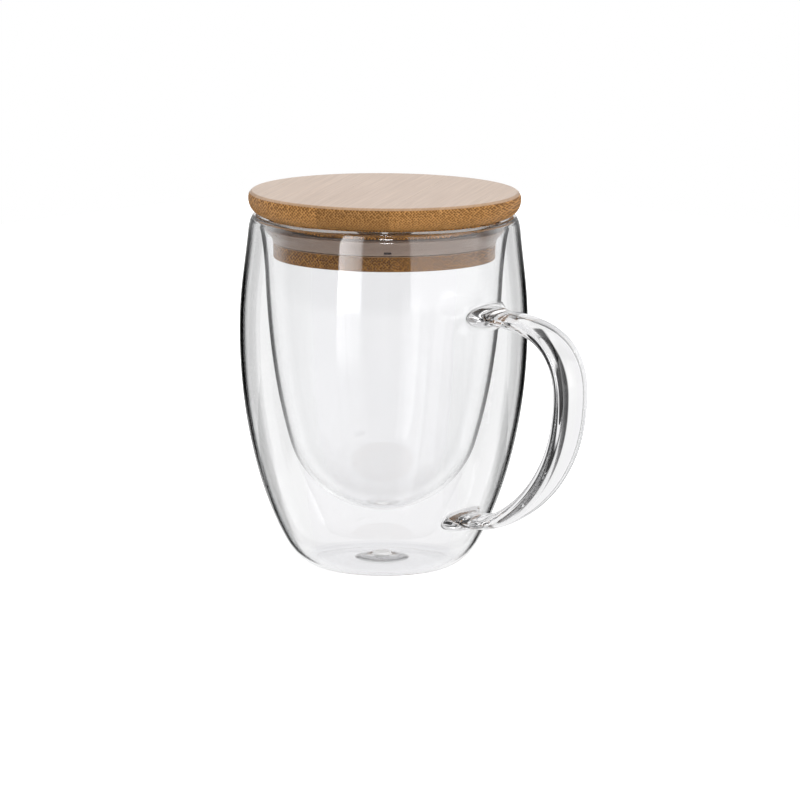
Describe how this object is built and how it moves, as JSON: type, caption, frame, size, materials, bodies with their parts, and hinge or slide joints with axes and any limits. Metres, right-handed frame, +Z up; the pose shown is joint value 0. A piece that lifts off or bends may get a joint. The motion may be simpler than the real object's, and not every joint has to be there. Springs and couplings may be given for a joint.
{
  "type": "double-wall glass mug with lid",
  "caption": "Barrel-shaped double-wall clear glass mug with a glass loop handle and a push-in bamboo lid sealed by a silicone lip ring.",
  "frame": {"origin": "on the table under the middle of the whole object's box, handle included; the mug's own axis stands at x = -19.4 mm", "axes": "+Z up along the mug's axis, +X towards the handle, -Z out of the standing ring"},
  "size_m": [0.1334, 0.0948, 0.124],
  "materials": {
    "clear_glass": "clear, fire-polished",
    "white_silicone": "matt white silicone",
    "milky_silicone": "translucent silicone, satin",
    "bamboo": "sanded and oiled bamboo"
  },
  "bodies": {
    "mug": {"outer_glass": "clear_glass", "inner_glass": "clear_glass", "handle": "clear_glass", "vent_plug": "white_silicone"},
    "seal": {"seal_ring": "milky_silicone"},
    "lid": {"lid_top_stave_1": "bamboo", "lid_top_stave_2": "bamboo", "lid_top_stave_3": "bamboo", "lid_top_stave_4": "bamboo", "lid_top_stave_5": "bamboo", "lid_plug_stave_1": "bamboo", "lid_plug_stave_2": "bamboo", "lid_plug_stave_3": "bamboo"}
  },
  "joints": [
    {"name": "lid_lift", "type": "slide", "parent": "mug", "child": "seal", "axis": [0, 0, 1], "range_m": [0, 0.08]},
    {"name": "lid_turn", "type": "hinge", "parent": "seal", "child": "lid", "pos_m": [-0.0194, 0, 0.1162], "axis": [0, 0, 1], "continuous": true}
  ]
}
